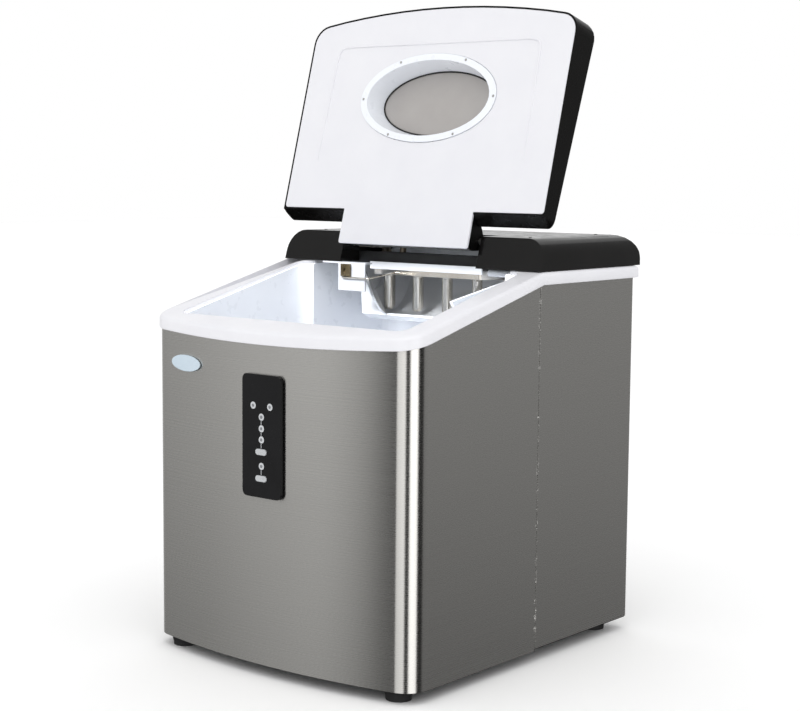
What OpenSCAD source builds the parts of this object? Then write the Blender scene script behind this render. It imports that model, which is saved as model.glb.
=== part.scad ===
// Countertop ice maker: a sheet steel cabinet with an open bin in front, a black
// rear cover, a hinged lid with a window, and the ice making gear under the cover.
// Millimetres, +Z up, front towards -Y, origin under the middle of the whole object.
// Local heights count from the lower edge of the steel, which stands on the feet.

/* [Cabinet] */
// Width across the steel sides
body_w = 300; // [280:1:320]
// Depth from the front corners to the back of the steel
body_d = 322.5; // [310:0.5:340]
// How far the front bows forward at its middle
bow = 17.4; // [10:0.1:22]
// Radius of the two front corners
corner_r = 22; // [12:1:30]
// Where the front wrap meets the rear wrap
seam_y = 169; // [160:1:176]
// Sheet thickness of the wraps
sheet = 1; // [0.6:0.1:1.5]
// Height of the feet under the steel
foot_h = 10; // [8:0.5:14]

/* [Rim] */
// Slope of the rim, falling to the front
rim_slope = 14.15; // [12:0.05:16]
// Height of the flat rear part of the rim
rim_z = 332.7; // [325:0.1:340]
// Height of the rim's outer band
rim_h = 11; // [8:0.5:14]
// How far the rim stands proud of the steel
rim_out = 2; // [1:0.5:3]

/* [Rear cover] */
// Height of the top of the rear cover
cover_z = 361; // [356:0.5:364]
// Rear end of the cover
cover_y = 330; // [326:0.5:334]
// Half the width of the slot for the lid's tab
slot_x = 79.6; // [79:0.1:84]

/* [Lid] */
// How far the lid opens from closed
lid_angle = 119.5; // [100:0.5:125]
// Half the width of the lid
lid_x = 152.4; // [148:0.1:154]
// Thickness of the lid at the hinge side
lid_t = 15.5; // [14:0.5:18]
// Thickness of the lid at the front edge
lid_t_front = 31; // [28:0.5:34]
// Half the width and half the height of the window opening
window = [71, 36]; // [30:0.5:72]
// Diameter of the hinge pins
pin_d = 6; // [4:0.5:7]

/* [Ice making] */
// Radius of the tilting water tray
tray_r = 50; // [49:0.5:51]
// How far the tray tilts between freezing and tipped
tray_tilt = 34; // [20:1:35]
// Diameter of the evaporator fingers
finger_d = 9; // [7:0.5:10]
// Distance between the fingers of a row
finger_pitch = 34.9; // [33:0.1:36]

/* [Panel] */
// Width and height of the control panel
panel_size = [44, 104]; // [40:1:105]
// How far the panel stands proud of the front
panel_out = 3; // [2.5:0.5:6]
// Button travel
button_travel = 0.8; // [0.5:0.1:1]

/* [Hidden] */
$fn = 64;
half_w = body_w / 2;
front_r = (half_w * half_w + bow * bow) / (2 * bow);
front_cy = front_r - bow;
y_mid = (cover_y - bow - panel_out - button_travel) / 2;
slope = tan(rim_slope);
flat_y = 172.3;
rim_z0 = rim_z - slope * flat_y;
panel_c = [1, 197];
seat_y = -bow - panel_out;
// Lid hinge axis, in y and z
hinge = [182.6, 356];
// How far the top of the cover's front face is set back
cover_set = 9;
// Start and direction of the lid's inner face when open
lid_o = [156.83, 333.1];
lid_lean = 90 + rim_slope + 90 - lid_angle;
lid_s0 = 49.6;
lid_back_lean = 0.7;
lid_s1 = 243.6;
tab_s = 18.3;
tab_x = 75.4;
panel_t = 2.6;
wall = 2.5;
lip = 1.4;
win_s = 157;
// Tray axis, in y and z
tray_axis = [221, 326];
tray_lip = 206;
tray_span = 150;
tray_ear = 30;
tray_x = 88;
// Bin opening
bin_x = 129;
bin_y = 9.5;
chamber_x = 115;
chamber_y = 277;
step_y = 171.2;
bin_floor = 130;
shelf_z = 232;
liner_t = 2.2;
finger_z = [287, 320.5];
rows = [209, 233];
button_x = panel_c.x;
select_z = 183.8;
power_z = 161.3;
led_r = 3.1;
led_places = [[-8.5, 222.5], [10.7, 222.5], [1, 213.3], [1, 203.5], [1, 194.1], [1, 171.7]];
pill = [12.4, 5.2];
feet_at = [[-125, 12], [125, 12], [-125, 300], [125, 300]];
comp_at = [62, 232];
comp_r = 48;
fan_at = [-58, 122];
fan_r = 44;
fan_y = 268;
cond_y = 284;
gland_at = [112, 42];
valve_at = [-112, 188];
drier_at = [-120, 30];
drain_at = [-20, 26];
pump_at = [60, 138];
basket = [[-118, 17], [118, 158]];
basket_z = 165;
basket_h = 93;
hose_y = 164.4;

// ---- shared shapes ----

// Puts local coordinates into the object's frame
module place() {
    translate([0, -y_mid, foot_h]) children();
}

function unit(v) = v / norm(v);

// Points of the arc of radius r that rounds the corner p between a and b
function corner(a, p, b, r, n) =
    let (
        u = unit(a - p),
        v = unit(b - p),
        half = acos(u * v) / 2,
        c = p + unit(u + v) * r / sin(half),
        s = p + u * r / tan(half) - c,
        e = p + v * r / tan(half) - c,
        start = atan2(s.y, s.x),
        sweep = atan2(s.x * e.y - s.y * e.x, s * e)
    )
    r == 0 ? [p] : [for (i = [0:n]) c + r * [cos(start + sweep * i / n), sin(start + sweep * i / n)]];

// A polygon's points with corner i rounded to radius r[i]
function rounded(p, r, n = 6) =
    let (m = len(p))
    [for (i = [0:m - 1]) each corner(p[(i + m - 1) % m], p[i], p[(i + 1) % m], r[i], n)];

function box_points(x, y0, y1) = [[-x, y0], [x, y0], [x, y1], [-x, y1]];

function ellipse(a, b, n = 48) = [for (i = [0:n - 1]) [a * cos(360 * i / n), b * sin(360 * i / n)]];

// Plan outline of the cabinet, moved in by t, from the bowed front back to y_end
function plan(t, y_end) =
    let (
        r = corner_r,
        cx = half_w - r,
        cy = front_cy - sqrt(pow(front_r - r, 2) - cx * cx),
        turn = atan2(cx, front_cy - cy),
        right = [for (a = [-90 + turn:(90 - turn) / 6:0.01]) [cx + (r - t) * cos(a), cy + (r - t) * sin(a)]],
        bowed = [for (a = [-turn:turn / 8:turn - 1]) [(front_r - t) * sin(a), front_cy - (front_r - t) * cos(a)]]
    )
    concat(
        [[-half_w + t, y_end]],
        [for (i = [len(right) - 1:-1:1]) [-right[i].x, right[i].y]],
        bowed, right, [[half_w - t, y_end]]
    );

// A y-z outline extruded across the cabinet's width
module across(points, x) {
    rotate([90, 0, 90]) translate([0, 0, -x]) linear_extrude(2 * x) polygon(points);
}

// An x-z outline extruded along y from y0 to y1
module along(points, y0, y1) {
    translate([0, y1, 0]) rotate([90, 0, 0]) linear_extrude(y1 - y0) polygon(points);
}

// Everything under the rim's top face lowered by d
module under_rim(d, low = -1) {
    across([[-60, low], [400, low], [400, rim_z - d], [flat_y, rim_z - d], [-60, rim_z0 - 60 * slope - d]], 200);
}

// Lid coordinates: x across, y from the hinge side to the front, z out of the inner face
module lid_place() {
    place() translate([0, lid_o.x, lid_o.y]) rotate([lid_lean, 0, 0]) children();
}

module rod(a, b, r) {
    d = b - a;
    translate(a) rotate([0, acos(d.z / norm(d)), atan2(d.y, d.x)]) cylinder(h = norm(d), r = r, $fn = 24);
}

// A bent pipe along a list of points, with a ball of radius knee at each bend
module pipe(points, r, knee) {
    for (i = [1:len(points) - 1]) rod(points[i - 1], points[i], r);
    for (i = [1:len(points) - 2]) translate(points[i]) sphere(knee, $fn = 24);
}

// ---- cabinet ----

module base_pan() {
    color("#2b2b2d") place() {
        difference() {
            translate([0, 0, 1]) linear_extrude(12) intersection() {
                polygon(plan(sheet + 0.3, body_d - sheet - 0.3));
                polygon(rounded(box_points(half_w, -50, body_d - sheet - 0.3), [0, 0, 7, 7]));
            }
            translate([0, 0, 3.5]) linear_extrude(12) polygon(plan(sheet + 2.5, body_d - sheet - 2.5));
            for (p = feet_at) translate([p.x, p.y, -1]) cylinder(h = 8, r = 2.1);
        }
    }
}

module feet() {
    color("#1c1c1d") place() for (p = feet_at) translate([p.x, p.y, -foot_h]) {
        difference() {
            union() {
                cylinder(h = 3, r = 11);
                translate([0, 0, 3]) cylinder(h = foot_h - 2, r1 = 11, r2 = 13.5);
            }
            translate([0, 0, -1]) cylinder(h = 6, r = 5);
            cylinder(h = foot_h + 2, r = 2.1);
        }
    }
}

module base_screws() {
    color("silver") place() for (p = feet_at) translate([p.x, p.y, 0]) {
        translate([0, 0, -foot_h + 3]) cylinder(h = 2, r = 4);
        translate([0, 0, -foot_h + 3]) cylinder(h = foot_h + 3, r = 2);
    }
}

module front_wrap() {
    color("#8b8782") place() difference() {
        intersection() {
            linear_extrude(rim_z) difference() {
                polygon(plan(0, seam_y));
                polygon(plan(sheet, seam_y + 1));
            }
            under_rim(rim_h);
        }
        translate([panel_c.x, -bow, panel_c.y]) cube([panel_size.x - 8, 20, panel_size.y - 8], center = true);
    }
}

module rear_wrap() {
    color("#7b7873") place() difference() {
        intersection() {
            translate([0, 0, 2]) linear_extrude(rim_z) difference() {
                polygon(rounded(box_points(half_w, seam_y + 0.4, body_d), [0, 0, 6, 6]));
                polygon(rounded(box_points(half_w - sheet, seam_y - 1, body_d - sheet), [0, 0, 5, 5]));
            }
            under_rim(rim_h);
        }
        translate([-58, body_d, 122]) cube([104, 10, 104], center = true);
        for (i = [0:9]) translate([-half_w, 230, 60 + 9 * i]) cube([10, 70, 4], center = true);
        translate([gland_at.x, body_d + 5, gland_at.y]) rotate([90, 0, 0]) cylinder(h = 10, r = 9.2);
        translate([drain_at.x, body_d + 5, drain_at.y]) rotate([90, 0, 0]) cylinder(h = 10, r = 9.2);
    }
}

module rear_grille() {
    color("#232324") place() translate([-58, body_d, 122]) difference() {
        union() {
            rotate([90, 0, 0]) translate([0, 0, -1.6]) linear_extrude(1.6)
                polygon(rounded(box_points(57, -57, 57), [5, 5, 5, 5]));
            translate([0, -2, 0]) cube([103, 6, 103], center = true);
        }
        for (i = [-5:5]) translate([0, 0, 8.6 * i]) cube([92, 20, 4.6], center = true);
    }
}

// Outline of the rim's opening, moved out by t: the bin, and the chamber behind it
function opening(t) = rounded(
    [[-bin_x - t, bin_y - t], [bin_x + t, bin_y - t], [bin_x + t, step_y + t], [chamber_x + t, step_y + t],
        [chamber_x + t, chamber_y + t], [-chamber_x - t, chamber_y + t], [-chamber_x - t, step_y + t],
        [-bin_x - t, step_y + t]],
    [10, 10, 12, 2, 8, 8, 2, 12]
);

module top_rim() {
    color("#f1f1f4") place() difference() {
        intersection() {
            linear_extrude(rim_z + 5) difference() {
                polygon(plan(-rim_out, body_d + 2));
                polygon(opening(0));
            }
            under_rim(0);
            difference() {
                cube(1000, center = true);
                under_rim(rim_h, -400);
            }
        }
        intersection() {
            linear_extrude(rim_z) difference() {
                polygon(plan(sheet + 0.6, body_d - 3));
                polygon(opening(wall));
            }
            under_rim(wall);
        }
        translate([-chamber_x - 5, tray_axis.x, tray_axis.y]) rotate([0, 90, 0]) cylinder(h = 10, r = 4);
    }
}

// Outline of the liner, moved in by t, for the bin or for the chamber behind it
function bin_outline(t) = rounded(box_points(bin_x - t, bin_y + t, step_y - t), [10 - t, 10 - t, 12 - t, 12 - t]);
function chamber_outline(t) = rounded(box_points(chamber_x - t, 150, chamber_y - t), [0, 0, 8 - t, 8 - t]);

module tank_liner() {
    gap = 0.3;
    color("#eef0f5") place() {
        difference() {
            intersection() {
                union() {
                    translate([0, 0, bin_floor - liner_t]) linear_extrude(220) polygon(bin_outline(gap));
                    translate([0, 0, shelf_z - liner_t]) linear_extrude(110) polygon(chamber_outline(gap));
                }
                under_rim(wall + 0.5);
            }
            translate([0, 0, bin_floor]) linear_extrude(300) polygon(bin_outline(gap + liner_t));
            translate([0, 0, shelf_z]) linear_extrude(200) polygon(chamber_outline(gap + liner_t));
            translate([-chamber_x - 5, tray_axis.x, tray_axis.y]) rotate([0, 90, 0]) cylinder(h = 10, r = 4.2);
        }
        for (x = [-100, 100], y = [30, 152]) translate([x, y, bin_floor - 0.5]) cylinder(h = basket_z - bin_floor + 0.4, r = 6);
    }
}

// ---- rear cover and hinge ----

function cover_front(t) =
    rounded([[-half_w + t, rim_z + 0.2], [half_w - t, rim_z + 0.2], [half_w - t, cover_z - t], [-half_w + t, cover_z - t]],
        [0, 0, 20 - t, 20 - t]);
function cover_side(t) =
    rounded([[seam_y + t, rim_z - 1], [cover_y - t, rim_z - 1], [cover_y - t, cover_z - t],
        [seam_y + cover_set + t, cover_z - t]],
        [0, 0, 22 - t, t > 0 ? 0 : 2]);

module cover_block(t, low = 0) {
    intersection() {
        translate([0, 0, -low]) along(cover_front(t), seam_y + t, cover_y - t);
        translate([0, 0, -low]) across(cover_side(t), half_w);
    }
}

module rear_cover() {
    color("#262525") place() difference() {
        union() {
            difference() {
                cover_block(0);
                intersection() {
                    cover_block(3);
                    cube([1000, 1000, 2 * cover_z - 6], center = true);
                }
                translate([0, 0, -3]) cover_block(3);
            }
            intersection() {
                cover_block(0);
                for (side = [-1, 1]) translate([side * (slot_x + 2) - 2, seam_y + 1, rim_z + 0.2])
                    cube([4, 27, cover_z - rim_z - 2]);
            }
        }
        translate([-slot_x, seam_y - 1, rim_z - 5]) cube([2 * slot_x, 38, 60]);
        for (side = [-1, 1]) translate([side * (slot_x + 2) - 10, hinge.x, hinge.y]) rotate([0, 90, 0])
            cylinder(h = 20, r = pin_d / 2 + 0.02);
        for (x = [-120, 120], y = [195, 300]) translate([x, y, cover_z - 5]) cylinder(h = 10, r = 1.5);
    }
}

module cover_screws() {
    color("#3a3a3c") place() for (x = [-120, 120], y = [195, 300]) translate([x, y, cover_z - 9])
        cylinder(h = 9.4, r = 1.4);
}

module hinge_pins() {
    color("silver") place() for (side = [-1, 1]) translate([side * 74 - 10.5, hinge.x, hinge.y]) rotate([0, 90, 0])
        cylinder(h = 21, r = pin_d / 2);
}

// ---- lid, drawn in lid coordinates ----

lid_arc = 14.5;
lid_arc_r = (lid_x * lid_x + lid_arc * lid_arc) / (2 * lid_arc);

// Face outline of the lid, moved in by t, with its hinge side at s
function lid_outline(t, s, back_r = 3) =
    let (
        x = lid_x - t,
        r = 18 - t / 2,
        front = function (u) lid_s1 - t - lid_arc_r + sqrt(lid_arc_r * lid_arc_r - u * u)
    )
    rounded(
        concat([[-x, s], [x, s], [x, front(x)]], [for (u = [5:-1:-5]) [u * x / 6.5, front(u * x / 6.5)]],
            [[-x, front(x)]]),
        concat([back_r, back_r, r], [for (u = [5:-1:-5]) 0], [r])
    );

// Side outline of the lid, moved in by t, from the inner face to the outer skin
function lid_side(t) =
    let (hinge_side = lid_s0 + t)
    rounded(
        [[hinge_side + lid_back_lean, 1], [hinge_side - lid_back_lean * (lid_t - t), -lid_t + t],
            [lid_s1 - t, -lid_t_front + t],
            [lid_s1 - t, 1]],
        [0, 3 - t, 27 - t, 0]
    );

module lid_block(t) {
    intersection() {
        translate([0, 0, -60]) linear_extrude(60.5) polygon(lid_outline(t, lid_s0 - 11.5 + t, 12 - t));
        across(lid_side(t), lid_x - t);
    }
}

// Tilt of the outer skin against the inner face
skin_tilt = -atan((lid_t_front - lid_t) / (lid_s1 - lid_s0));
skin_z = -lid_t - (lid_t_front - lid_t) * (win_s - lid_s0) / (lid_s1 - lid_s0);

module skin_place() {
    translate([0, win_s, skin_z]) rotate([skin_tilt, 0, 0]) children();
}

module lid_shell() {
    hinge_s = (hinge.x - lid_o.x) * cos(lid_lean) + (hinge.y - lid_o.y) * sin(lid_lean);
    hinge_n = (hinge.y - lid_o.y) * cos(lid_lean) - (hinge.x - lid_o.x) * sin(lid_lean);
    seat = -panel_t - 0.2;
    neck = rounded(
        [[lid_s0 + 6, seat], [tab_s, seat], [tab_s, seat - 7], [hinge_s - 7, hinge_n - 4], [hinge_s + 3, hinge_n - 5],
            [lid_s0 - 4, -lid_t + 1.5], [lid_s0 + 6, -lid_t + 1.5]],
        [0, 0, 2, 4, 2, 0, 0]
    );
    color("#1f1e1e") lid_place() difference() {
        union() {
            difference() {
                intersection() {
                    lid_block(0);
                    translate([0, 0, -100]) cube([400, 600, 200], center = true);
                }
                lid_block(wall);
                translate([0, 0, seat]) linear_extrude(10) polygon(lid_outline(lip, lid_s0 + lip));
            }
            across(neck, tab_x - 0.4);
        }
        translate([0, 0, seat]) linear_extrude(10) square([2 * tab_x + 1, 2 * lid_s0 + 10], center = true);
        translate([-80, hinge_s, hinge_n]) rotate([0, 90, 0]) cylinder(h = 160, r = pin_d / 2 + 0.05);
        skin_place() translate([0, 0, -5]) linear_extrude(20) polygon(ellipse(window.x - 6, window.y - 5));
    }
}

module lid_panel() {
    color("#f4f4f6") lid_place() difference() {
        translate([0, 0, -panel_t]) linear_extrude(panel_t) union() {
            polygon(lid_outline(lip + 0.2, lid_s0 + lip + 0.2));
            polygon(rounded(box_points(tab_x, tab_s, lid_s0 + 6), [2, 2, 0, 0]));
        }
        translate([0, win_s, -10]) linear_extrude(20) polygon(ellipse(window.x + 7.6, window.y + 6.2));
    }
}

module window_well() {
    color("#eceef2") lid_place() difference() {
        union() {
            translate([0, win_s, -panel_t]) linear_extrude(panel_t + 0.8)
                polygon(ellipse(window.x + 7.4, window.y + 6));
            hull() {
                translate([0, win_s, -panel_t]) linear_extrude(0.1) polygon(ellipse(window.x + 2, window.y + 2));
                skin_place() translate([0, 0, 4.2]) linear_extrude(0.1) polygon(ellipse(window.x - 3, window.y - 2));
            }
        }
        hull() {
            translate([0, win_s, 1]) linear_extrude(0.1) polygon(ellipse(window.x, window.y));
            skin_place() translate([0, 0, 4]) linear_extrude(0.1) polygon(ellipse(window.x - 5, window.y - 4));
        }
        lid_screw_places() translate([0, 0, -5]) cylinder(h = 10, r = 1.3, $fn = 24);
    }
}

module window_pane() {
    color("#8d8a86", 0.5) lid_place() skin_place() {
        translate([0, 0, wall + 0.1]) linear_extrude(1.5) polygon(ellipse(window.x - 1.5, window.y - 0.5));
        translate([0, 0, 0.6]) linear_extrude(wall) polygon(ellipse(window.x - 6.3, window.y - 5.3));
    }
}

module lid_screw_places() {
    for (a = [0:60:300])
        translate([(window.x + 4.6) * cos(a), win_s + (window.y + 4) * sin(a), 0]) children();
}

module lid_screws() {
    color("silver") lid_place() lid_screw_places() translate([0, 0, -8]) cylinder(h = 9, r = 1.2, $fn = 24);
}

// ---- control panel ----

// Something drawn in x-z, moved to the panel's face and extruded to the back
module on_panel(depth, out = 0) {
    translate([0, seat_y - out + depth, 0]) rotate([90, 0, 0]) linear_extrude(depth) children();
}

module pill_shape(size, grow = 0) {
    for (side = [-1, 1]) translate([side * (size.x - size.y) / 2, 0]) circle(r = size.y / 2 + grow, $fn = 32);
    square([size.x - size.y, size.y + 2 * grow], center = true);
}

module control_bezel() {
    low = [panel_c.x - panel_size.x / 2, panel_c.y - panel_size.y / 2];
    high = low + panel_size;
    color("#0c0c0d") place() difference() {
        union() {
            on_panel(panel_out - 0.05) polygon(rounded([low, [high.x, low.y], high, [low.x, high.y]], [5, 5, 5, 5]));
            on_panel(panel_out + 6) translate(panel_c) square(panel_size - [9, 9], center = true);
        }
        translate([0, 2.2, 0]) on_panel(30) translate(panel_c) square(panel_size - [13, 13], center = true);
        for (p = led_places) on_panel(30, 1) translate(p) circle(r = led_r + 0.1, $fn = 32);
        for (z = [select_z, power_z]) on_panel(30, 1) translate([button_x, z]) pill_shape(pill, 0.25);
    }
}

module led_windows() {
    color("#d9dde0") place() for (p = led_places) on_panel(3.2, -0.1) translate(p) circle(r = led_r, $fn = 32);
}

module button(z) {
    color("#c9ccd0") place() {
        on_panel(5, button_travel) translate([button_x, z]) pill_shape(pill);
        translate([0, 2.5, 0]) on_panel(1.2) translate([button_x, z]) pill_shape(pill + [2.4, 2.4]);
    }
}

module select_button() {
    button(select_z);
}

module power_button() {
    button(power_z);
}

module control_board() {
    color("#1f5a36") place() translate([panel_c.x, seat_y + 10.5, panel_c.y]) cube([28, 1.6, 84], center = true);
    color("#222222") place() for (z = [select_z, power_z]) translate([button_x, seat_y + 8.3, z])
        cube([6, 2.8, 4], center = true);
}

module badge_plate() {
    badge = [-99, 250];
    color("#dfeef2") place() translate([badge.x, front_cy - sqrt(front_r * front_r - badge.x * badge.x), badge.y])
        rotate([90, 0, asin(badge.x / front_r)]) translate([0, 0, 0.25]) linear_extrude(1.3) polygon(ellipse(21, 7.2));
}

// ---- evaporator and tilting tray ----

module evaporator_plate() {
    outline = rounded([[-63, 199], [63, 199], [80, 222], [80, 243], [-80, 243], [-80, 222]], [5, 5, 5, 5, 5, 5]);
    inside = rounded([[-60, 202], [60, 202], [77, 223], [77, 240], [-77, 240], [-77, 223]], [3, 3, 3, 3, 3, 3]);
    color("#b9b1a4") place() difference() {
        translate([0, 0, finger_z[1]]) linear_extrude(8.3) polygon(outline);
        translate([0, 0, finger_z[1] + 2.5]) linear_extrude(8.3) polygon(inside);
    }
}

module evaporator_fingers() {
    color("#b8b0a2") place() for (row = [0, 1], i = [0:3 + row]) {
        translate([(i - (3 + row) / 2) * finger_pitch, rows[row], finger_z[0]]) {
            translate([0, 0, 1.5]) cylinder(h = finger_z[1] - finger_z[0] - 1.5, r = finger_d / 2);
            cylinder(h = 1.5, r1 = finger_d / 2 - 1, r2 = finger_d / 2);
        }
    }
}

module evaporator_tube() {
    low = finger_z[1] + 6.5;
    high = 347;
    out_x = 102;
    wall_y = chamber_y - liner_t - 0.6;
    color("#b08a5a") place() pipe([
        [-out_x, wall_y, 300], [-out_x, 262, 300], [-out_x, 262, high], [-out_x, 226, high], [-70, 226, high],
        [-70, 236, low], [70, 236, low], [50, 212, low], [-40, 212, low], [-40, 216, high + 2],
        [out_x, 216, high + 2], [out_x, 262, high + 2], [out_x, 262, 300], [out_x, wall_y, 300]
    ], 3, 3.24);
}

module support_bar() {
    color("#1d1d1f") place() {
        translate([-chamber_x + 3, 199, finger_z[1] + 8.5]) cube([2 * chamber_x - 6, 6, 13]);
        for (side = [-1, 1]) translate([side * (chamber_x - 6) - 3, 199, finger_z[1] + 8.5]) cube([6, 9, 13]);
    }
}

module splash_guard() {
    color("#dfe8f0", 0.7) place() translate([-66, 197.2, finger_z[1] + 5]) cube([132, 1.6, 7]);
}

// A profile of distance from the middle against radius, turned about the tray axis from angle a through sweep
module tray_turned(a, sweep, profile) {
    rotate([0, 90, 0]) rotate([0, 0, a + 90]) rotate_extrude(angle = sweep, $fn = 96)
        polygon([for (p = profile) [p.y, p.x]]);
}

module water_tray() {
    first = tray_lip + tray_tilt;
    skin = [[0, tray_r], [74, tray_r], [86, 26], [tray_x + 2, 26], [tray_x + 2, 6], [tray_x, 6], [tray_x, 24],
        [84.6, 24], [73, tray_r - 2], [0, tray_r - 2]];
    // Sloping guard at each end, ahead of the lip, and the web that joins it to the trough
    ear = [[47.5, tray_r - 0.5], [tray_x + 1.5, 7.5], [tray_x + 1.5, 6.5], [tray_x - 0.5, 6.5], [44.5, tray_r - 0.5]];
    web = [[46.5, tray_r - 1], [73.5, tray_r - 1], [85.3, 25], [tray_x + 0.9, 25], [tray_x + 0.9, 7]];
    color("#e4ecf3", 0.8) place() translate([0, tray_axis.x, tray_axis.y]) {
        for (side = [0, 1]) mirror([side, 0, 0]) {
            tray_turned(first, tray_span, skin);
            tray_turned(first - tray_ear, tray_ear + 1, ear);
            tray_turned(first + 0.3, 2.4, web);
            translate([tray_x, 0, 0]) rotate([0, 90, 0]) cylinder(h = 2, r = 9);
            translate([tray_x + 2, 0, 0]) rotate([0, 90, 0]) cylinder(h = 5, r = 6);
        }
        translate([tray_x + 7, 0, 0]) rotate([0, 90, 0]) cylinder(h = 12, r = 3);
        translate([-tray_x - 39, 0, 0]) rotate([0, 90, 0]) cylinder(h = 32, r = 3);
    }
}

module tray_motor() {
    color("#3d3d40") place() difference() {
        union() {
            translate([-chamber_x - 28, tray_axis.x - 20, tray_axis.y - 34]) cube([20, 40, 38]);
            translate([-chamber_x - 8, tray_axis.x, tray_axis.y]) rotate([0, 90, 0]) cylinder(h = 4, r = 4.1);
        }
        translate([-chamber_x - 14, tray_axis.x, tray_axis.y]) rotate([0, 90, 0]) cylinder(h = 30, r = 3.05);
    }
}

module motor_bracket() {
    color("#9a9a9c") place() difference() {
        translate([-chamber_x - 7.8, tray_axis.x - 26, tray_axis.y - 40]) cube([1.5, 52, 44]);
        translate([-chamber_x - 14, tray_axis.x, tray_axis.y]) rotate([0, 90, 0]) cylinder(h = 30, r = 4.3);
    }
}

module tray_bushing() {
    color("#e8e8ea") place() translate([tray_x + 9, tray_axis.x, tray_axis.y]) rotate([0, 90, 0]) difference() {
        union() {
            cylinder(h = chamber_x - 2.7 - tray_x - 9, r = 6);
            translate([0, 0, chamber_x - 4.7 - tray_x - 9]) cylinder(h = 2, r = 11);
        }
        translate([0, 0, -1]) cylinder(h = 11.5, r = 3.05);
    }
}

// ---- ice level sensor ----

module sensor_bracket() {
    color("#eef0f4") place() {
        translate([-79, 166.4, 306]) cube([33, 1.6, 25.6]);
        translate([-100, 168, 331]) cube([54, 9, 1.6]);
        translate([-79, 167, 330.4]) cube([33, 1, 1.2]);
        translate([-79, 167.5, 330.4]) cube([33, 2, 2.2]);
    }
}

module ice_sensor() {
    color("#8a7a52") place() difference() {
        translate([-73.5, 163.4, 319.5]) cube([10.5, 3, 11.5]);
        translate([-68.2, 160, 325.2]) rotate([-90, 0, 0]) cylinder(h = 4.6, r = 2);
    }
}

module sensor_rod() {
    color("#a39a86") place() pipe([[-72.5, 165, 318.2], [-41, 165, 318.2], [-38, 198.4, 322.4]], 1, 1.6);
}

// ---- basket and water ----

// Outline of the basket, moved in by t
function basket_ring(t) = rounded(box_points(basket[1].x - t, basket[0].y + t, basket[1].y - t),
    [16 - t, 16 - t, 16 - t, 16 - t]);

module ice_basket() {
    slot_rows = [basket_z + 20:18:basket_z + 74];
    top = basket_z + basket_h;
    color("#e9edf2") place() difference() {
        union() {
            translate([0, 0, basket_z]) linear_extrude(basket_h) polygon(basket_ring(2));
            translate([0, 0, top - 3]) linear_extrude(3) polygon(basket_ring(0));
        }
        translate([0, 0, basket_z + 2]) linear_extrude(basket_h) polygon(basket_ring(4));
        for (x = [-84:21:84], z = slot_rows) translate([x, 87, z]) cube([12, 200, 8], center = true);
        for (y = [45:21:130], z = slot_rows) translate([0, y, z]) cube([300, 12, 8], center = true);
        for (x = [-84:21:84], y = [45:21:130]) translate([x, y, basket_z]) cube([10, 10, 10], center = true);
    }
}

module water_pump() {
    color("#2e3f58") place() translate([pump_at.x, pump_at.y, bin_floor]) {
        cylinder(h = 14, r = 14);
        translate([0, 0, 14]) cylinder(h = 6, r = 5);
    }
}

module pump_hose() {
    x = 104;
    low = bin_floor + 25;
    color("#e6eaee", 0.7) place() pipe([
        [pump_at.x, pump_at.y, bin_floor + 20.2], [pump_at.x, pump_at.y, low], [pump_at.x, hose_y, low],
        [x, hose_y, low], [x, hose_y, 300], [x, 190, 328], [80, 190, 328]
    ], 3, 3.24);
}

module level_probe() {
    color("#c9c9cc") place() for (x = [-70, -58]) translate([x, 164.8, bin_floor]) {
        cylinder(h = 40, r = 1.5, $fn = 24);
        translate([0, 0, 40]) cylinder(h = 6, r = 3, $fn = 24);
    }
}

module drain_spout() {
    color("#2a2a2b") place() translate([drain_at.x, 0, drain_at.y]) rotate([-90, 0, 0]) difference() {
        union() {
            translate([0, 0, 250]) cylinder(h = body_d - 250, r = 6);
            translate([0, 0, body_d]) cylinder(h = 2, r = 12);
            translate([0, 0, body_d - 4]) cylinder(h = 4, r = 9);
        }
        translate([0, 0, 252]) cylinder(h = 100, r = 4);
    }
}

module drain_plug() {
    color("#161617") place() translate([drain_at.x, 0, drain_at.y]) rotate([-90, 0, 0]) {
        translate([0, 0, body_d - 10]) cylinder(h = 12.2, r = 3.95);
        translate([0, 0, body_d + 2.2]) cylinder(h = 4.5, r = 10);
    }
}

// ---- refrigeration ----

module compressor() {
    color("#18181a") place() translate([comp_at.x, comp_at.y, 14]) {
        cylinder(h = 96, r = comp_r);
        translate([0, 0, 96]) cylinder(h = 16, r1 = comp_r, r2 = comp_r - 16);
        translate([0, 0, 112]) cylinder(h = 5, r = 12);
        for (a = [0:90:270]) rotate([0, 0, a + 45]) translate([comp_r + 4, 0, 2]) cube([20, 18, 3], center = true);
        translate([0, -comp_r - 6, 60]) cube([34, 18, 40], center = true);
    }
}

module compressor_mounts() {
    color("#111112") place() translate([comp_at.x, comp_at.y, 3.6]) for (a = [0:90:270]) rotate([0, 0, a + 45])
        translate([comp_r + 9, 0, 0]) cylinder(h = 10.8, r = 7);
}

module condenser() {
    color("#8f8f92") place() translate([fan_at.x, cond_y, fan_at.y]) {
        for (i = [-11:11]) translate([i * 4, 10, 0]) cube([1.2, 20, 96], center = true);
        for (i = [-4:4]) translate([-47, 10, i * 10.5]) rotate([0, 90, 0]) cylinder(h = 94, r = 3.2, $fn = 24);
        for (side = [-1, 1]) translate([side * 47, 10, 0]) cube([1.5, 24, 100], center = true);
    }
}

module fan_shroud() {
    color("#29292b") place() translate([fan_at.x, fan_y - 6, fan_at.y]) rotate([-90, 0, 0]) difference() {
        translate([0, 0, 10]) cube([100, 100, 20], center = true);
        translate([0, 0, -1]) cylinder(h = 22, r = fan_r + 2);
    }
}

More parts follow.
